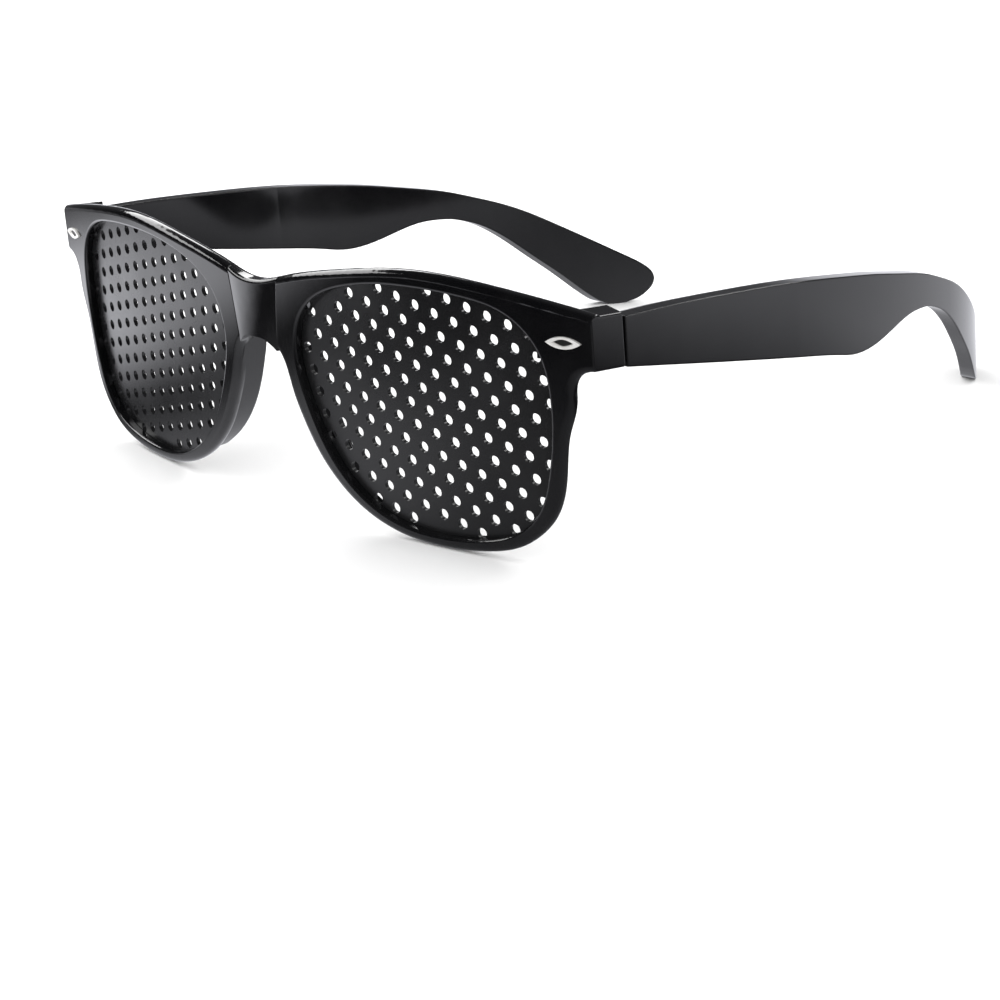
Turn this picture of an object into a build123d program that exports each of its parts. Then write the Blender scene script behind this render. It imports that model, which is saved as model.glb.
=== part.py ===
from build123d import *
import os
from math import asin, atan2, cos, degrees, hypot, sin, sqrt

# Pinhole glasses in millimetres: a moulded front with two perforated plates in
# its rims, two folding temples on screwed hinges and two almond trims.
# The pieces are drawn upright, x to the wearer's left, y to the back and z up,
# with the origin on the front face in the middle of the bridge. The assembly is
# then leaned until rims and temple tips stand on z = 0.

# Front moulding
front_face_radius = 257.0        # wrap of the front, seen from above
front_thickness = 3.0
front_edge_round = 1.2           # round of the outer edges of its face
back_edge_round = 1.5            # round of its outer edges at the back
opening_front_round = 0.5        # round of an opening's edge on the face
opening_back_round = 0.3         # round of an opening's edge at the back

# Lens openings
opening_width = 54.0
opening_height = 43.4
nose_half_gap = 9.7              # middle of the bridge to the edge of an opening
rim_nose = 4.0                   # rim beside the nose
rim_outer = 2.4                  # rim towards the temple
rim_bottom = 2.1
rim_top = 2.8

# Shares of the opening's width and height, from its centre, anticlockwise
opening_outline_shares = [
    (0.497, -0.012), (0.498, 0.159), (0.462, 0.325), (0.362, 0.442), (0.224, 0.486),
    (0.096, 0.499), (-0.013, 0.500), (-0.122, 0.492), (-0.240, 0.466), (-0.364, 0.412),
    (-0.462, 0.305), (-0.496, 0.150), (-0.470, -0.012), (-0.424, -0.150), (-0.367, -0.267),
    (-0.294, -0.362), (-0.208, -0.433), (-0.112, -0.478), (-0.013, -0.498), (0.093, -0.500),
    (0.210, -0.486), (0.335, -0.440), (0.431, -0.336), (0.477, -0.178)]
nose_side_index = 12             # outline point where the rim meets the nose arch
pad_point_count = 4              # outline points that a nose pad follows from there
rim_span_count = 4               # outline points in a span of the rim's edge

# Brow line: heights above the bridge datum, at shares of the front's half width
bridge_top_height = -1.1
crease_top_height = 0.5
brow_rise_height = 3.1
brow_top_height = 5.0
brow_fall_height = 3.7
endpiece_top_height = 0.7
brow_width_shares = [0.115, 0.290, 0.527, 0.763]
brow_end_slope = 0.22            # fall of the brow line per width at the endpiece

# Endpieces
endpiece_overhang = 8.3          # outer face past the edge of the opening
endpiece_height = 9.3            # outer end, top to bottom
endpiece_corner = 0.5            # round of its long outer edges
endpiece_return = 7.2            # from the front corner back to the hinge gap
endpiece_return_fall = 1.0       # fall of its top and bottom over that length
endpiece_wall = 3.2              # outer wall behind the front
endpiece_depth = 8.0             # from the outer face to the inner side of the hinge block
endpiece_flare = 4.0             # the hinge block widens by this much towards the rim
endpiece_curve_drop = 4.6        # curve between endpiece and rim
endpiece_curve_reach = 4.4

# Nose arch and pads
arch_drop = 11.5                 # crown of the arch below the bridge datum
arch_half_width = 5.0
arch_side_drop = 2.0
arch_shoulder_share = 0.12       # drop of the arch at half its half width
pad_depth = 7.2                  # front face to the rear edge of a nose pad
pad_wall = 2.6
pad_start_depth = 1.4
pad_rear_round = 0.6
pad_line = 0.25                  # the pad stands back from the rim's edge by this much
pad_top_drop = 12.4              # below the bridge datum
pad_bottom_drop = 38.5
# Shares of the pad's depth and of its height, down its rear edge
pad_rear_shares = [(0.62, 0.00), (0.88, 0.06), (0.98, 0.20), (1.00, 0.45),
                   (0.96, 0.68), (0.82, 0.86), (0.45, 0.99)]

# Bridge patch between the two creases
crease_top_x = 7.7
crease_bottom_x = 5.3
crease_bow = 0.3
patch_top_round = 0.6
patch_proud = 0.7                # the middle of the patch stands ahead of the face by this much
patch_crown_top = 1.0            # rise of the patch from a crease to its middle
patch_crown_bottom = 0.85

# Lens plates
plate_recess = 1.7
plate_thickness = 0.8
groove_depth = 0.8
plate_clearance = 0.05
pinhole_diameter = 1.95
pinhole_pitch = 4.0
pinhole_row_angle = -15.2        # degrees; rows fall towards the temple
pinhole_shift = 1.75             # a pinhole lies this far out from the middle of the opening
pinhole_edge_margin = 0.6        # hole centres stay this far inside the opening

# Temples
temple_inset = 0.2               # outer face inboard of the endpiece's outer face
temple_thickness = 3.1
temple_run = 130.8               # from the hinge gap to the tip, front to back
temple_drop = 49.7               # lowest point of the tip below the bridge datum
temple_straight = 43.0           # straight up to here, then it bends inwards
temple_bend_radius = 194.0       # first, gentle part of the bend
temple_bend_length = 56.0        # that part, front to back
temple_tail_radius = 94.0        # bend of the rest
# Shares of the run and of the drop along the top edge, the tip and the bottom edge
temple_outline_shares = [
    (0.0, 0.025), (0.068, 0.04), (0.131, 0.058), (0.213, 0.085), (0.286, 0.111), (0.366, 0.145),
    (0.448, 0.187), (0.519, 0.228), (0.582, 0.271), (0.66, 0.328), (0.706, 0.373),
    (0.758, 0.429), (0.807, 0.494), (0.852, 0.568), (0.902, 0.657), (0.931, 0.711),
    (0.955, 0.757), (0.976, 0.798), (0.99, 0.832), (0.998, 0.864), (1.0, 0.896), (0.997, 0.926),
    (0.989, 0.955), (0.978, 0.979), (0.964, 0.994), (0.949, 1.0), (0.934, 0.996), (0.921, 0.98),
    (0.909, 0.953), (0.896, 0.92), (0.875, 0.862), (0.851, 0.799), (0.819, 0.722),
    (0.788, 0.646), (0.753, 0.57), (0.717, 0.511), (0.684, 0.475), (0.658, 0.457),
    (0.615, 0.446), (0.59, 0.45), (0.566, 0.46), (0.535, 0.475), (0.503, 0.486), (0.479, 0.488),
    (0.449, 0.48), (0.413, 0.455), (0.334, 0.404), (0.257, 0.357), (0.188, 0.314), (0.0, 0.195)]
temple_joint_indices = [9, 15, 29, 37]   # outline points where its spans join

# Hinges
hinge_gap = 0.85                 # between endpiece and temple
hinge_setback = 0.6              # screw axis behind the endpiece's rear face
knuckle_radius = 1.9
knuckle_clearance = 0.3
knuckle_face_gap = 0.1
middle_knuckle_height = 2.8
outer_knuckle_height = 2.0
knuckle_stack_drop = 1.6         # top of the upper knuckle below the endpiece's top
knuckle_root = 1.2               # how far the outer knuckles run into the endpiece
knuckle_web_length = 4.4
knuckle_web_root = 1.0           # how far the web runs into the temple

# Hinge screws
screw_shank_diameter = 1.2
screw_running_clearance = 0.05
screw_seat_clearance = 0.02
screw_head_diameter = 2.2
screw_head_height = 0.8
screw_head_sink = 0.5
screw_head_relief = 0.2
screw_cross_width = 0.3
screw_cross_length = 1.3
screw_cross_depth = 0.35

# Almond trims on the endpieces
trim_length = 6.4
trim_height = 2.0
trim_proud = 0.35
trim_sink = 0.6
trim_rim = 0.35
trim_dish = 0.3
trim_leg_diameter = 0.9
trim_leg_length = 1.4
trim_leg_spacing = 3.0
trim_seat_clearance = 0.03
trim_inset = 4.9                 # its middle inboard of the endpiece's outer face
trim_drop = 4.6                  # its middle below the endpiece's top

# Reach of cutting tools past the part, and how edges are told apart
overrun = 30.0
matching_tolerance = 0.02
edge_sample_shares = [0.0, 0.25, 0.5, 0.75, 1.0]


def face_y(x):
    """Depth of the wrapped front face at x."""
    return front_face_radius - sqrt(front_face_radius ** 2 - x ** 2)


# Places that follow from the sizes above
opening_centre_x = nose_half_gap + opening_width / 2
opening_centre_z = brow_top_height - rim_top - opening_height / 2
front_half_width = opening_centre_x + opening_width / 2 + endpiece_overhang
endpiece_rear_y = face_y(front_half_width) + endpiece_return
endpiece_bottom_z = endpiece_top_height - endpiece_height
end_middle_y = face_y(front_half_width) + front_thickness / 2
temple_outer_x = front_half_width - temple_inset
temple_inner_x = temple_outer_x - temple_thickness
temple_root_y = endpiece_rear_y + hinge_gap
hinge_x = temple_inner_x - knuckle_clearance - knuckle_radius
hinge_y = endpiece_rear_y + hinge_setback
knuckle_top = endpiece_top_height - knuckle_stack_drop
middle_top = knuckle_top - outer_knuckle_height - knuckle_face_gap
middle_bottom = middle_top - middle_knuckle_height
lower_top = middle_bottom - knuckle_face_gap
knuckle_bottom = lower_top - outer_knuckle_height
shank_radius = screw_shank_diameter / 2
head_radius = screw_head_diameter / 2


def block(x0, x1, y0, y1, z0, z1):
    """Box between two corners."""
    return Pos((x0 + x1) / 2, (y0 + y1) / 2, (z0 + z1) / 2) * Box(x1 - x0, y1 - y0, z1 - z0)


def hinge_cylinder(radius, bottom, top):
    """Upright cylinder on the left screw axis."""
    return Pos(hinge_x, hinge_y, (bottom + top) / 2) * Cylinder(radius, top - bottom)


def plan_prism(face, bottom, top):
    """Extrude a plan outline between two heights."""
    return extrude(Pos(0, 0, bottom) * face, top - bottom, dir=(0, 0, 1))


def wrapped_slab(near, far):
    """Slab that follows the front's wrap between two depths behind its face."""
    reach = asin((front_half_width + front_thickness) / front_face_radius)

    def arc_ends(radius):
        side = (radius * sin(reach), front_face_radius - radius * cos(reach))
        return (-side[0], side[1]), (0, front_face_radius - radius), side

    a0, a1, a2 = arc_ends(front_face_radius - near)
    b0, b1, b2 = arc_ends(front_face_radius - far)
    outline = [ThreePointArc(a0, a1, a2), Line(a2, b2), ThreePointArc(b2, b1, b0), Line(b0, a0)]
    return plan_prism(make_face(outline), -temple_drop - overrun, overrun)


def at_depth(edge, depth):
    """Whether an edge of the left half lies at a depth behind the wrapped face."""
    for share in edge_sample_shares:
        place = edge.position_at(share)
        gap = front_face_radius - depth - hypot(place.X, front_face_radius - place.Y)
        if abs(gap) > matching_tolerance:
            return False
    return edge.center().X > matching_tolerance


def at_end(edge):
    """Whether an edge lies in the outer face of the left endpiece."""
    return edge.center().X > front_half_width - matching_tolerance


def smooth_run(points, joints, start=None, finish=None):
    """Smooth open line through points, in spans that share their direction at the joints."""
    last = len(points) - 1

    def direction(i):
        if i == 0 and start:
            return start
        if i == last and finish:
            return finish
        before = points[max(i - 1, 0)]
        after = points[min(i + 1, last)]
        return Vector(after[0] - before[0], after[1] - before[1]).normalized()

    ends = [0] + joints + [last]
    return [Spline(*points[i:j + 1], tangents=(direction(i), direction(j)))
            for i, j in zip(ends, ends[1:])]


def through_front(face):
    """Extrude an outline drawn in x and z from well ahead to well behind the front."""
    standing = Pos(0, -overrun, 0) * (Plane((0, 0, 0), x_dir=(1, 0, 0), z_dir=(0, -1, 0)) * face)
    return extrude(standing, front_face_radius / 2, dir=(0, 1, 0))


def outline_point(share, nose, outer, bottom, top):
    """Point on the opening's outline, moved out by the given widths."""
    u, v = share
    side = outer if u > 0 else nose
    level = top if v > 0 else bottom
    return (opening_centre_x + u * (opening_width + 2 * side),
            opening_centre_z + v * (opening_height + 2 * level))


def opening_face(grow):
    """Outline of the left lens opening, grown all round."""
    points = [outline_point(s, grow, grow, grow, grow) for s in opening_outline_shares]
    return make_face([Spline(*points, periodic=True)])


def rim_point(share):
    """Point on the outer edge of the left rim."""
    return outline_point(share, rim_nose, rim_outer, rim_bottom, rim_top)


def silhouette_face():
    """Outline of the front's left half in x and z, without its opening."""
    heights = [crease_top_height, brow_rise_height, brow_top_height, brow_fall_height]
    brow = [(0, bridge_top_height)]
    brow += [(s * front_half_width, h) for s, h in zip(brow_width_shares, heights)]
    brow += [(front_half_width, endpiece_top_height)]
    end_bottom = (front_half_width, endpiece_bottom_z)
    under = (front_half_width - endpiece_curve_reach, endpiece_bottom_z - endpiece_curve_drop)
    rim_shares = [opening_outline_shares[0]] + opening_outline_shares[:nose_side_index - 1:-1]
    rim = [rim_point(s) for s in rim_shares]
    arch = [(arch_half_width, -arch_drop - arch_side_drop),
            (arch_half_width / 2, -arch_drop - arch_side_drop * arch_shoulder_share),
            (0, -arch_drop)]
    lower = [under] + rim + arch
    joints = list(range(rim_span_count, len(lower) - 1, rim_span_count))
    return make_face([
        Spline(*brow, tangents=((1, 0), (1, -brow_end_slope))),
        Line(brow[-1], end_bottom),
        Spline(end_bottom, under, tangents=((-1, 0), (0, -1)))]
        + smooth_run(lower, joints, (0, -1), (-1, 0)) + [Line(arch[-1], brow[0])])


def endpiece_arm():
    """Left endpiece behind the front's back face: its outer wall and its hinge block."""
    corner_y = face_y(front_half_width)
    wall_x = front_half_width - endpiece_wall
    inner_x = front_half_width - endpiece_depth
    behind = front_thickness / 2

    def sloped(height):
        origin = (front_half_width, corner_y, height)
        fall = endpiece_return_fall / endpiece_return
        return Plane(origin, x_dir=(1, 0, -brow_end_slope), z_dir=(brow_end_slope, fall, 1))

    wall = block(wall_x, front_half_width, face_y(wall_x) + behind, endpiece_rear_y,
                 endpiece_bottom_z - overrun, endpiece_top_height + overrun)
    above = sloped(endpiece_top_height) * Pos(0, 0, overrun) * Box(overrun, overrun, 2 * overrun)
    below = Pos(0, 0, -endpiece_height) * above.mirror(sloped(endpiece_top_height))
    wall = wall - above - below
    wall = fillet(wall.faces().sort_by(Axis.X)[-1].edges().filter_by(
        lambda edge: abs((edge % 0).Y) > abs((edge % 0).Z)), endpiece_corner)
    plan = make_face(Polyline(
        (front_half_width - endpiece_corner, corner_y + behind),
        (front_half_width - endpiece_corner, endpiece_rear_y), (inner_x, endpiece_rear_y),
        (inner_x - endpiece_flare, face_y(inner_x) + behind), close=True))
    return wall + plan_prism(plan, knuckle_bottom, knuckle_top)


def nose_pad():
    """Left nose pad: a fin along the nose side of the rim, behind its face."""
    last = nose_side_index + pad_point_count
    run = [(arch_half_width, -arch_drop - arch_side_drop)]
    run += [rim_point(s) for s in opening_outline_shares[nose_side_index:last]]
    near = [(x + pad_line, z) for x, z in run]
    far = [(x + pad_wall, z) for x, z in run]
    band = make_face([Spline(*near), Line(near[-1], far[-1]), Spline(*far[::-1]),
                      Line(far[0], near[0])])
    height = pad_bottom_drop - pad_top_drop
    rear = [(a * pad_depth, -pad_top_drop - b * height) for a, b in pad_rear_shares]
    top = (pad_start_depth, -pad_top_drop)
    bottom = (pad_start_depth, -pad_bottom_drop)
    side = make_face([Line(top, rear[0]), Spline(*rear), Line(rear[-1], bottom),
                      Line(bottom, top)])
    return through_front(band) & extrude(Plane.YZ * side, opening_centre_x, dir=(1, 0, 0))


def bridge_patch():
    """The convex patch between the two creases, and the room that it takes in the front."""
    high = brow_top_height
    low = -arch_drop - arch_side_drop

    def crown_radius(half, rise):
        return (half ** 2 + rise ** 2) / (2 * rise)

    top_radius = crown_radius(crease_top_x, patch_crown_top)
    low_radius = crown_radius(crease_bottom_x, patch_crown_bottom)
    barrel = loft([Pos(0, top_radius - patch_proud, high) * Circle(top_radius),
                   Pos(0, low_radius - patch_proud, low) * Circle(low_radius)])
    middle = (crease_top_x + crease_bottom_x) / 2 - crease_bow
    sides = [ThreePointArc((sign * crease_top_x, high), (sign * middle, (high + low) / 2),
                           (sign * crease_bottom_x, low)) for sign in (1, -1)]
    window = make_face([sides[0], Line((crease_bottom_x, low), (-crease_bottom_x, low)),
                        sides[1], Line((-crease_top_x, high), (crease_top_x, high))])
    ahead = block(-front_half_width, front_half_width, -overrun, front_thickness / 2, low, high)
    room = through_front(window) & ahead
    patch = room & barrel & through_front(silhouette_face() + silhouette_face().mirror(Plane.YZ))
    top = [edge for edge in patch.edges() if edge.center().Y < front_thickness / 2 - matching_tolerance
           and edge.center().Z > bridge_top_height - patch_top_round
           and abs((edge % 0.1).X) > abs((edge % 0.1).Y)]
    return fillet(top, patch_top_round), room


def outer_knuckles():
    """Upper and lower knuckle on the left endpiece."""
    lugs = []
    for bottom, top in ((knuckle_top - outer_knuckle_height, knuckle_top),
                        (knuckle_bottom, lower_top)):
        web = block(hinge_x - knuckle_radius, hinge_x + knuckle_radius,
                    endpiece_rear_y - knuckle_root, hinge_y, bottom, top)
        lugs.append(web + hinge_cylinder(knuckle_radius, bottom, top))
    return lugs


def trim_plane(depth):
    """Plane at the left trim, at a depth behind the front face, facing forwards."""
    x = front_half_width - trim_inset
    turn = asin(x / front_face_radius)
    radius = front_face_radius - depth
    origin = (radius * sin(turn), front_face_radius - radius * cos(turn),
              endpiece_top_height - trim_drop)
    return Plane(origin, x_dir=(cos(turn), sin(turn), 0), z_dir=(sin(turn), -cos(turn), 0))


def almond(inset):
    """Almond outline, drawn in by an inset all round."""
    tip = trim_length / 2 - inset * trim_length / trim_height
    side = trim_height / 2 - inset
    return make_face([ThreePointArc((-tip, 0), (0, side), (tip, 0)),
                      ThreePointArc((tip, 0), (0, -side), (-tip, 0))])


def trim_solid(clearance):
    """Left trim as a solid without its dish, grown by a clearance."""
    back = trim_plane(trim_sink + clearance)
    body = extrude(back * almond(-clearance), trim_sink + trim_proud + clearance)
    legs = [back * Pos(side * trim_leg_spacing / 2, 0, 0)
            * Circle(trim_leg_diameter / 2 + clearance) for side in (-1, 1)]
    for leg in legs:
        body += extrude(leg, -trim_leg_length)
    return body


def build_trim():
    """Left trim: rounded almond with a dished face and two press-in legs."""
    face = trim_plane(-trim_proud)
    dish = extrude(face * almond(trim_rim), -trim_dish, taper=30)
    return trim_solid(0) - dish


def rounded_front():
    """Left half of the front with its edges rounded, before patch, endpiece, pad and hinge."""
    body = through_front(silhouette_face()) & wrapped_slab(0, front_thickness)
    for depth, size in ((front_thickness, back_edge_round), (0, front_edge_round)):
        body = fillet([edge for edge in body.edges() if at_depth(edge, depth) and not at_end(edge)], size)
    end = [edge for edge in body.edges() if at_end(edge) and edge.center().Y < end_middle_y]
    body = fillet(end, endpiece_corner)
    body = body - through_front(opening_face(0))
    face = [edge for edge in body.edges() if at_depth(edge, 0)]
    body = fillet([max(face, key=lambda edge: edge.length)], opening_front_round)
    inner = [edge for edge in body.edges() if at_depth(edge, front_thickness)]
    return fillet([max(inner, key=lambda edge: edge.length)], opening_back_round)


def build_half_front():
    """Left half of the front moulding."""
    body = rounded_front() - bridge_patch()[1] + endpiece_arm()
    body = body - (through_front(opening_face(groove_depth)) &
                   wrapped_slab(plate_recess - plate_clearance,
                                plate_recess + plate_thickness + plate_clearance))
    pad = nose_pad()
    rear = [edge for edge in pad.edges() if edge.center().Y > (pad_start_depth + pad_depth) / 2]
    body = body + fillet(rear, pad_rear_round)
    body = body - hinge_cylinder(knuckle_radius + knuckle_clearance,
                                 middle_bottom - knuckle_face_gap, middle_top + knuckle_face_gap)
    for lug in outer_knuckles():
        body = body + lug
    body = body - hinge_cylinder(head_radius + screw_head_relief,
                                 knuckle_top - screw_head_sink, overrun)
    body = body - hinge_cylinder(shank_radius + screw_running_clearance, lower_top, overrun)
    body = body - hinge_cylinder(shank_radius + screw_seat_clearance, knuckle_bottom - overrun,
                                 lower_top)
    return body - trim_solid(trim_seat_clearance)


def build_front():
    """The whole front moulding."""
    half = build_half_front()
    return half + mirror(half, about=Plane.YZ) + bridge_patch()[0]


def pinhole_places():
    """Middles of the pinholes of the left plate in x and z, a hexagonal pattern."""
    inside = opening_face(-pinhole_edge_margin)
    reach = int(opening_width / pinhole_pitch)
    row = Vector(pinhole_pitch, 0).rotate(Axis.Z, pinhole_row_angle)
    skew = row.rotate(Axis.Z, 60)
    start = Vector(opening_centre_x + pinhole_shift, opening_centre_z)
    places = []
    for i in range(-reach, reach + 1):
        for j in range(-reach, reach + 1):
            place = start + row * i + skew * j
            if inside.is_inside(place):
                places.append((place.X, place.Y))
    return places


def build_plate():
    """Left plate, wrapped like the front and pierced square to its face."""
    plate = through_front(opening_face(groove_depth - plate_clearance))
    plate = plate & wrapped_slab(plate_recess, plate_recess + plate_thickness)
    tool = Cylinder(pinhole_diameter / 2, plate_thickness + groove_depth)
    tools = []
    middle_radius = front_face_radius - plate_recess - plate_thickness / 2
    for x, z in pinhole_places():
        turn = asin(x / middle_radius)
        origin = (x, front_face_radius - middle_radius * cos(turn), z)
        spot = Plane(origin, x_dir=(cos(turn), sin(turn), 0), z_dir=(sin(turn), -cos(turn), 0))
        tools.append(spot.location * tool)
    print("pinholes in a plate", len(tools))
    return plate - tools


def temple_point(share):
    """Point of the temple's side view in y and z."""
    return (temple_root_y + share[0] * temple_run, -share[1] * temple_drop)


def build_temple():
    """Left temple with its knuckle."""
    points = [temple_point(s) for s in temple_outline_shares]
    side = make_face(smooth_run(points, temple_joint_indices) + [Line(points[-1], points[0])])
    side_prism = extrude(Plane.YZ * side, front_half_width, dir=(1, 0, 0))
    bend_y = temple_root_y + temple_straight
    start_y = temple_root_y - overrun
    turn = asin(temple_bend_length / temple_bend_radius)
    full_turn = turn + (temple_run - temple_straight) / temple_tail_radius / 2

    def bend(inset):
        radius = temple_bend_radius - inset
        gentle = [(temple_outer_x - temple_bend_radius + radius * cos(a), bend_y + radius * sin(a))
                  for a in (0, turn / 2, turn)]
        step = temple_bend_radius - temple_tail_radius
        middle = (temple_outer_x - temple_bend_radius + step * cos(turn), bend_y + step * sin(turn))
        radius = temple_tail_radius - inset
        tail = [(middle[0] + radius * cos(a), middle[1] + radius * sin(a))
                for a in (turn, (turn + full_turn) / 2, full_turn)]
        return gentle, tail

    outer, outer_tail = bend(0)
    inner, inner_tail = bend(temple_thickness)
    plan = make_face([
        Line((temple_outer_x, start_y), outer[0]), ThreePointArc(*outer),
        ThreePointArc(*outer_tail), Line(outer_tail[-1], inner_tail[-1]),
        ThreePointArc(*inner_tail[::-1]), ThreePointArc(*inner[::-1]),
        Line(inner[0], (temple_inner_x, start_y)),
        Line((temple_inner_x, start_y), (temple_outer_x, start_y))])
    body = side_prism & plan_prism(plan, -temple_drop - overrun, overrun)
    web = block(hinge_x, temple_inner_x + knuckle_web_root, temple_root_y,
                temple_root_y + knuckle_web_length, middle_bottom, middle_top)
    body = body + web + hinge_cylinder(knuckle_radius, middle_bottom, middle_top)
    return body - hinge_cylinder(shank_radius + screw_running_clearance, knuckle_bottom, knuckle_top)


def build_screw():
    """Left hinge screw, its head let into the upper knuckle."""
    seat = knuckle_top - screw_head_sink
    crown = seat + screw_head_height
    screw = hinge_cylinder(head_radius, seat, crown)
    screw = fillet(screw.edges().sort_by(Axis.Z)[-1:], screw_cross_depth)
    screw += hinge_cylinder(shank_radius, knuckle_bottom, seat)
    slot = Box(screw_cross_length, screw_cross_width, 2 * screw_cross_depth)
    return screw - Pos(hinge_x, hinge_y, crown) * slot - Pos(hinge_x, hinge_y, crown) * Rot(0, 0, 90) * slot


def main():
    """Build every piece, stand the assembly up and write it."""
    left = {"left_lens_plate": build_plate(), "left_temple": build_temple(),
            "left_hinge_screw": build_screw(), "left_trim_stud": build_trim()}
    pieces = {"front_frame": build_front()}
    for name, shape in left.items():
        pieces[name] = shape
        pieces[name.replace("left", "right")] = mirror(shape, about=Plane.YZ)
    front_low = -opening_centre_z + opening_height / 2 + rim_bottom
    low_run = max(temple_outline_shares, key=lambda s: s[1])[0] * temple_run
    lean = degrees(atan2(temple_drop - front_low, temple_root_y + low_run - face_y(opening_centre_x)))
    leaned = {name: Rot(lean, 0, 0) * shape for name, shape in pieces.items()}
    boxes = [shape.bounding_box() for shape in leaned.values()]
    middle_y = (min(b.min.Y for b in boxes) + max(b.max.Y for b in boxes)) / 2
    shift = Pos(0, -middle_y, -min(b.min.Z for b in boxes))
    os.makedirs("parts", exist_ok=True)
    for name, shape in leaned.items():
        placed = shift * shape
        print(name, placed.is_valid, round(placed.volume, 3), placed.bounding_box())
        export_step(placed, "parts/" + name + ".step")
    print("lean", lean, "shift", shift.position)
    top = shift * Rot(lean, 0, 0) * Pos(hinge_x, hinge_y, knuckle_top)
    low = shift * Rot(lean, 0, 0) * Pos(hinge_x, hinge_y, knuckle_bottom)
    print("left screw axis from", low.position, "to", top.position)


main()
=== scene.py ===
import bpy
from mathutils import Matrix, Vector

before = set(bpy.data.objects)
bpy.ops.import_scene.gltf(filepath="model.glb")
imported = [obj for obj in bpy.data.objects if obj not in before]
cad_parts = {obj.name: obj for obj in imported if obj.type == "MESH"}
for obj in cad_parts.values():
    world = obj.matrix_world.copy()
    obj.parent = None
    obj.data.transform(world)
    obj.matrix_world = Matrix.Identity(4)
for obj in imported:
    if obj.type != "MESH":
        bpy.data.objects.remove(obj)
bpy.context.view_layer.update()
bpy.ops.object.select_all(action="DESELECT")

# Front moulding: both rims, the bridge, the nose pads and the endpieces in one
# shot of black thermoplastic. It is tumbled to a high gloss, so its broad faces
# stay slightly wavy and it picks up hair-fine marks from cloths and fingers.
moulded_black = (0.0028, 0.0028, 0.0033, 1)
rubbed_black = (0.0062, 0.0062, 0.0067, 1)
plastic_ior = 1.49
marks_scale = 420
marks_coverage = 0.6
patch_wear = 0.35
edge_samples = 6
front_gloss_range = (0.07, 0.2)
front_ripple_scale = 55
front_ripple_height = 0.000012
front_edge_round = 0.00015


def new_group(name, inputs, outputs):
    """Empty shader node group with float inputs, a place input and float outputs."""
    group = bpy.data.node_groups.new(name, "ShaderNodeTree")
    for title, value in inputs:
        socket = group.interface.new_socket(title, in_out="INPUT", socket_type="NodeSocketFloat")
        socket.default_value = value
    group.interface.new_socket("Place", in_out="INPUT", socket_type="NodeSocketVector")
    for title in outputs:
        group.interface.new_socket(title, in_out="OUTPUT", socket_type="NodeSocketFloat")
    return group, group.nodes.new("NodeGroupInput"), group.nodes.new("NodeGroupOutput")


def feed(tree, socket, value):
    """Link the output that feeds a socket, or set the socket to a plain value."""
    if isinstance(value, bpy.types.NodeSocket):
        tree.links.new(value, socket)
    else:
        socket.default_value = value


def add_node(tree, kind, **values):
    """Add a node with values for some of its inputs."""
    node = tree.nodes.new(kind)
    for title, value in values.items():
        feed(tree, node.inputs[title], value)
    return node


def arithmetic(tree, operation, *values):
    """One step of arithmetic on one or two values."""
    step = tree.nodes.new("ShaderNodeMath")
    step.operation = operation
    for socket, value in zip(step.inputs, values):
        feed(tree, socket, value)
    return step.outputs["Value"]


def ramp(tree, source, span=(0, 1), reach=(0, 1), curve="LINEAR"):
    """Take a value over its reach while its source goes over its span."""
    change = tree.nodes.new("ShaderNodeMapRange")
    change.interpolation_type = curve
    titles = ("Value", "From Min", "From Max", "To Min", "To Max")
    for title, value in zip(titles, (source, *span, *reach)):
        feed(tree, change.inputs[title], value)
    return change.outputs["Result"]


def clouds(tree, place, scale, detail, roughness=0.5):
    """Cloudy pattern between 0 and 1."""
    noise = add_node(tree, "ShaderNodeTexNoise", Vector=place, Scale=scale, Detail=detail,
                     Roughness=roughness)
    return noise.outputs["Fac"]


# Fine rubbing marks: two crossed sets of long thin streaks, broken up in patches.
streak_turns = (0.5, -0.9)
streak_stretch = (1, 0.04, 0.6)
streak_detail = 2
streak_span = (0.62, 0.72)
smudge_scale = 38
smudge_detail = 4
smudge_roughness = 0.6
smudge_span = (0.42, 0.68)
rubbing_marks, marks_in, marks_out = new_group(
    "rubbing_marks", (("Scale", 300), ("Coverage", 0.5)), ("Marks", "Patches"))
streak_sets = []
for turn in streak_turns:
    laid = add_node(rubbing_marks, "ShaderNodeMapping", Vector=marks_in.outputs["Place"],
                    Rotation=(turn, turn, turn / 2), Scale=streak_stretch)
    streaks = clouds(rubbing_marks, laid.outputs["Vector"], marks_in.outputs["Scale"], streak_detail)
    streak_sets.append(ramp(rubbing_marks, streaks, streak_span))
smudges = clouds(rubbing_marks, marks_in.outputs["Place"], smudge_scale, smudge_detail, smudge_roughness)
patches = ramp(rubbing_marks, smudges, smudge_span)
crossed = arithmetic(rubbing_marks, "MAXIMUM", *streak_sets)
broken = arithmetic(rubbing_marks, "MULTIPLY", crossed, patches)
kept = arithmetic(rubbing_marks, "MULTIPLY", broken, marks_in.outputs["Coverage"])
feed(rubbing_marks, marks_out.inputs["Marks"], kept)
feed(rubbing_marks, marks_out.inputs["Patches"], patches)

# Moulding ripple: the slow waviness of a polished plastic face.
ripple_detail = 1
ripple_roughness = 0.3
moulding_ripple, ripple_in, ripple_out = new_group("moulding_ripple", (("Scale", 50),), ("Height",))
waves = clouds(moulding_ripple, ripple_in.outputs["Place"], ripple_in.outputs["Scale"],
               ripple_detail, ripple_roughness)
feed(moulding_ripple, ripple_out.inputs["Height"], waves)


def new_material(name):
    """Material with its node tree, its shader and the object's own coordinates."""
    material = bpy.data.materials.new(name)
    material.use_nodes = True
    tree = material.node_tree
    place = tree.nodes.new("ShaderNodeTexCoord").outputs["Object"]
    return material, tree, tree.nodes["Principled BSDF"], place


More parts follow.
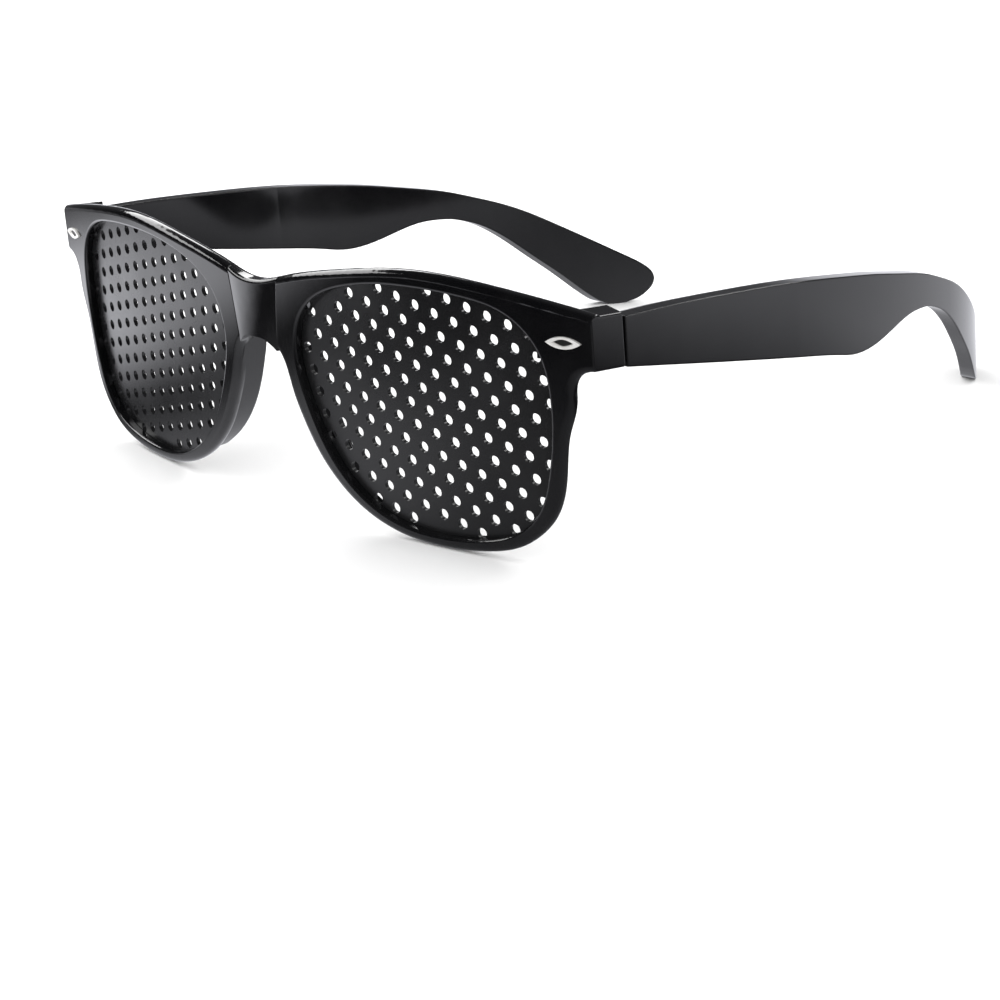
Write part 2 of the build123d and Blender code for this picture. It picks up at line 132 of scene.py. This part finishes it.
def add_pattern(tree, group, place, **values):
    """A shared pattern in a material, with that material's own values."""
    pattern = tree.nodes.new("ShaderNodeGroup")
    pattern.node_tree = group
    for title, value in {"Place": place, **values}.items():
        feed(tree, pattern.inputs[title], value)
    return pattern


def colour_between(tree, share, first, second):
    """Colour that a mask takes from the first to the second."""
    blend = tree.nodes.new("ShaderNodeMix")
    blend.data_type = "RGBA"
    for title, value in (("Factor", share), ("A", first), ("B", second)):
        feed(tree, blend.inputs[title], value)
    return blend.outputs["Result"]


def polished_plastic(name, gloss_range, ripple_scale, ripple_height, edge_round):
    """Polished black plastic with ripple, rubbing marks and softened edges."""
    material, tree, shader, place = new_material(name)
    shader.inputs["IOR"].default_value = plastic_ior
    marks = add_pattern(tree, rubbing_marks, place, Scale=marks_scale, Coverage=marks_coverage)
    shade = colour_between(tree, marks.outputs["Patches"], moulded_black, rubbed_black)
    feed(tree, shader.inputs["Base Color"], shade)
    faint = arithmetic(tree, "MULTIPLY", marks.outputs["Patches"], patch_wear)
    worn = arithmetic(tree, "MAXIMUM", marks.outputs["Marks"], faint)
    feed(tree, shader.inputs["Roughness"], ramp(tree, worn, reach=gloss_range))
    soft_edge = add_node(tree, "ShaderNodeBevel", Radius=edge_round)
    soft_edge.samples = edge_samples
    ripple = add_pattern(tree, moulding_ripple, place, Scale=ripple_scale)
    relief = add_node(tree, "ShaderNodeBump", Strength=1, Distance=ripple_height,
                      Height=ripple.outputs["Height"], Normal=soft_edge.outputs["Normal"])
    feed(tree, shader.inputs["Normal"], relief.outputs["Normal"])
    return material


def dress(material, *nodes):
    """Give the pieces of these nodes their finish."""
    for node in nodes:
        piece = bpy.data.objects[node]
        piece.data.materials.clear()
        piece.data.materials.append(material)


front_gloss = polished_plastic("polished_black_front", front_gloss_range, front_ripple_scale,
                               front_ripple_height, front_edge_round)
dress(front_gloss, "front_frame")

# Temples: the same black plastic, moulded flat and bent warm over a form behind
# the ear. The bending leaves longer waves than on the front, and their edges have
# a wider round.
temple_gloss_range = (0.07, 0.18)
temple_ripple_scale = 30
temple_ripple_height = 0.00002
temple_edge_round = 0.0005
temple_gloss = polished_plastic("polished_black_temple", temple_gloss_range, temple_ripple_scale,
                                temple_ripple_height, temple_edge_round)
dress(temple_gloss, "left_temple", "right_temple")

# Lens plates: thin black sheet punched with a pinhole pattern and snapped into the
# rims. The sheet keeps its rolled surface, a satin gloss with a fine even tooth.
sheet_black = (0.0055, 0.0055, 0.006, 1)
sheet_rubbed = (0.01, 0.01, 0.0108, 1)
sheet_ior = 1.47
sheet_gloss_range = (0.22, 0.36)
tooth_scale = 2600
tooth_detail = 1
tooth_strength = 0.25
tooth_height = 0.00002
satin_sheet, tree, shader, place = new_material("satin_black_sheet")
shader.inputs["IOR"].default_value = sheet_ior
patches = add_pattern(tree, rubbing_marks, place).outputs["Patches"]
feed(tree, shader.inputs["Base Color"], colour_between(tree, patches, sheet_black, sheet_rubbed))
feed(tree, shader.inputs["Roughness"], ramp(tree, patches, reach=sheet_gloss_range))
tooth = add_node(tree, "ShaderNodeBump", Strength=tooth_strength, Distance=tooth_height,
                 Height=clouds(tree, place, tooth_scale, tooth_detail))
feed(tree, shader.inputs["Normal"], tooth.outputs["Normal"])
dress(satin_sheet, "left_lens_plate", "right_lens_plate")

# Almond trims: small stampings, plated bright silver and pressed into two holes of
# each endpiece. Their dished middle gets painted shade: the dark it reflects is painted into its colour.
trim_middle_x = 0.06707
trim_middle_z = 0.03968
dish_half_length = 0.0017
dish_half_height = 0.00056
dish_bow = 1.6
dish_rim = (1.1, 0.9)
painted_dish_shade = (0.012, 0.012, 0.011, 1)
dull_silver = (0.78, 0.77, 0.74, 1)
bright_silver = (0.88, 0.87, 0.85, 1)
plating_metal = 0.35
plating_haze = (0.28, 0.42)
swirl_scale = 900
swirl_detail = 3


def off_middle(tree, way, middle, half):
    """How far a place lies from the dish's middle, as a share of the dish's half size."""
    away = arithmetic(tree, "SUBTRACT", way, middle)
    return arithmetic(tree, "ABSOLUTE", arithmetic(tree, "DIVIDE", away, half))


silver_plating, tree, shader, place = new_material("bright_silver_plating")
parts = add_node(tree, "ShaderNodeSeparateXYZ", Vector=place)
sideways = arithmetic(tree, "ABSOLUTE", parts.outputs["X"])
along = off_middle(tree, sideways, trim_middle_x, dish_half_length)
across = off_middle(tree, parts.outputs["Z"], trim_middle_z, dish_half_height)
spread = arithmetic(tree, "ADD", arithmetic(tree, "POWER", along, dish_bow), across)
# Painted shade: mask of the dished middle, where the dark it reflects is painted in.
dish_shade_mask = ramp(tree, spread, dish_rim)
swirl = clouds(tree, place, swirl_scale, swirl_detail)
silver = colour_between(tree, swirl, dull_silver, bright_silver)
# Painted shade in the dish's middle: dark colour there and no metal.
feed(tree, shader.inputs["Base Color"], colour_between(tree, dish_shade_mask, silver, painted_dish_shade))
feed(tree, shader.inputs["Metallic"], ramp(tree, dish_shade_mask, reach=(plating_metal, 0)))
feed(tree, shader.inputs["Roughness"], ramp(tree, swirl, reach=plating_haze))
dress(silver_plating, "left_trim_stud", "right_trim_stud")

# Hinge screws: turned steel with a cross slot, driven down through the knuckles.
# Turning leaves fine rings round the head and the shank.
dull_steel = (0.45, 0.45, 0.46, 1)
bright_steel = (0.6, 0.6, 0.61, 1)
steel_haze = (0.28, 0.42)
ring_scale = 2500
ring_waver = 1.5
screw_steel, tree, shader, place = new_material("turned_screw_steel")
shader.inputs["Metallic"].default_value = 1
turning = add_node(tree, "ShaderNodeTexWave", Vector=place, Scale=ring_scale, Distortion=ring_waver)
turning.bands_direction = "Z"
rings = turning.outputs["Fac"]
feed(tree, shader.inputs["Base Color"], colour_between(tree, rings, dull_steel, bright_steel))
feed(tree, shader.inputs["Roughness"], ramp(tree, rings, reach=steel_haze))
dress(screw_steel, "left_hinge_screw", "right_hinge_screw")

# Floor: a wide sheet of matt white board. In glossy rays it glows with painted
# reflections instead: painted white behind, painted shade under the glasses, a
# painted grey strip in front of the rims and a painted light card at the left.
floor_width = 8
board_white = (0.93, 0.93, 0.93, 1)
board_roughness = 0.9
board_specular = 0.1
painted_reflection_tone = (0.94, 0.945, 1, 1)
# Each painted reflection sheet is a list of changes: an axis, where the change
# starts and ends on it in metres, and the brightness at its start and end.
painted_reflection_behind = (("Y", (0.0, 0.11), (0.012, 1.15)),)
painted_grey_strip = (("Y", (-0.18, -0.08), (0, 1.1)),
              ("Y", (-0.05, 0.0), (1, 0)),
              ("X", (0.05, 0.0), (0.25, 1)),
              ("X", (-0.07, -0.02), (0.15, 1)))
painted_light_card = (("X", (-0.065, -0.135), (0, 2.6)),
              ("X", (-0.17, -0.27), (1, 0.14)),
              ("Y", (-0.09, -0.01), (1, 0.2)))


def painted_sheet_brightness(tree, parts, changes):
    """Brightness of one painted reflection sheet: its changes over the board, multiplied."""
    steps = [ramp(tree, parts.outputs[axis], span, reach, "SMOOTHSTEP") for axis, span, reach in changes]
    brightness = steps[0]
    for step in steps[1:]:
        brightness = arithmetic(tree, "MULTIPLY", brightness, step)
    return brightness


bpy.ops.mesh.primitive_plane_add(size=floor_width, location=(0, 0, 0))
floor = bpy.context.object
floor.name = "floor"
white_board_and_painted_reflections, tree, shader, place = new_material("white_board_and_painted_reflections")
shader.inputs["Base Color"].default_value = board_white
shader.inputs["Roughness"].default_value = board_roughness
shader.inputs["Specular IOR Level"].default_value = board_specular
parts = add_node(tree, "ShaderNodeSeparateXYZ", Vector=place)
behind = painted_sheet_brightness(tree, parts, painted_reflection_behind)
in_front = painted_sheet_brightness(tree, parts, painted_grey_strip)
at_left = painted_sheet_brightness(tree, parts, painted_light_card)
# Painted reflections: the brightest painted sheet at each place on the floor.
painted_reflection_strength = arithmetic(tree, "MAXIMUM", behind, arithmetic(tree, "MAXIMUM", in_front, at_left))
# The floor glows with these painted reflections and painted shade for glossy rays only.
painted_reflection_glow = add_node(tree, "ShaderNodeEmission", Color=painted_reflection_tone, Strength=painted_reflection_strength)
rays = tree.nodes.new("ShaderNodeLightPath")
either = add_node(tree, "ShaderNodeMixShader", Fac=rays.outputs["Is Glossy Ray"])
feed(tree, either.inputs[1], shader.outputs["BSDF"])
feed(tree, either.inputs[2], painted_reflection_glow.outputs["Emission"])
feed(tree, tree.nodes["Material Output"].inputs["Surface"], either.outputs["Shader"])
floor.data.materials.append(white_board_and_painted_reflections)

# Studio: an even dome and a white background. In reflections the room is dark in
# front, brighter behind and down at the horizon.
studio_white = (1, 1, 1, 1)
dome_strength = 1.2
backdrop_strength = 1
room_tone = (0.94, 0.945, 1, 1)
room_depth = ((-0.5, 0.6), (0.03, 1))
room_height = ((0.0, 0.1), (1, 0.12))
world = bpy.data.worlds.new("studio")
bpy.context.scene.world = world
world.use_nodes = True
tree = world.node_tree
dome = tree.nodes["Background"]
dome.inputs["Color"].default_value = studio_white
dome.inputs["Strength"].default_value = dome_strength
backdrop = add_node(tree, "ShaderNodeBackground", Color=studio_white, Strength=backdrop_strength)
place = tree.nodes.new("ShaderNodeTexCoord").outputs["Generated"]
parts = add_node(tree, "ShaderNodeSeparateXYZ", Vector=place)
depth = ramp(tree, parts.outputs["Y"], *room_depth, "SMOOTHSTEP")
height = ramp(tree, parts.outputs["Z"], *room_height, "SMOOTHSTEP")
room = add_node(tree, "ShaderNodeBackground", Color=room_tone,
                Strength=arithmetic(tree, "MULTIPLY", depth, height))
rays = tree.nodes.new("ShaderNodeLightPath")
clear = arithmetic(tree, "MAXIMUM", rays.outputs["Is Camera Ray"], rays.outputs["Is Transmission Ray"])
in_gloss = add_node(tree, "ShaderNodeMixShader", Fac=rays.outputs["Is Glossy Ray"])
feed(tree, in_gloss.inputs[1], dome.outputs["Background"])
feed(tree, in_gloss.inputs[2], room.outputs["Background"])
in_view = add_node(tree, "ShaderNodeMixShader", Fac=clear)
feed(tree, in_view.inputs[1], in_gloss.outputs["Shader"])
feed(tree, in_view.inputs[2], backdrop.outputs["Background"])
feed(tree, tree.nodes["World Output"].inputs["Surface"], in_view.outputs["Shader"])

# Strip lamps: a long one at the left and a smaller one behind draw the bright lines
# along the polished edges. Each has its place, its aim, its size and its watts.
strip_lamps = (
    ("left_strip", (-0.62, -0.05, 0.46), (0, -0.05, 0.04), (1.2, 0.22), 5.0),
    ("rear_strip", (0.2, 0.75, 0.6), (0, 0, 0.03), (0.75, 0.14), 2.4))
for name, place, aim, size, power in strip_lamps:
    data = bpy.data.lights.new(name, "AREA")
    data.shape = "RECTANGLE"
    data.size, data.size_y = size
    data.energy = power
    lamp = bpy.data.objects.new(name, data)
    bpy.context.collection.objects.link(lamp)
    lamp.location = place
    lamp.rotation_euler = (Vector(aim) - Vector(place)).to_track_quat("-Z", "Y").to_euler()

# Camera: a long lens from the left front, a little above the brow.
camera_place = (0.31922402, -0.32092211, 0.13837601)
camera_turn = (1.29328987, 0.04001293, 0.79039013)
lens_length = 84.944
sensor_width = 36
picture_shift = (-0.015, -0.135)
nearest_seen = 0.01
data = bpy.data.cameras.new("camera")
data.sensor_width = sensor_width
data.lens = lens_length
data.shift_x, data.shift_y = picture_shift
data.clip_start = nearest_seen
camera = bpy.data.objects.new("camera", data)
bpy.context.collection.objects.link(camera)
camera.location = camera_place
camera.rotation_euler = camera_turn
bpy.context.scene.camera = camera
bpy.context.scene.view_settings.view_transform = "Standard"
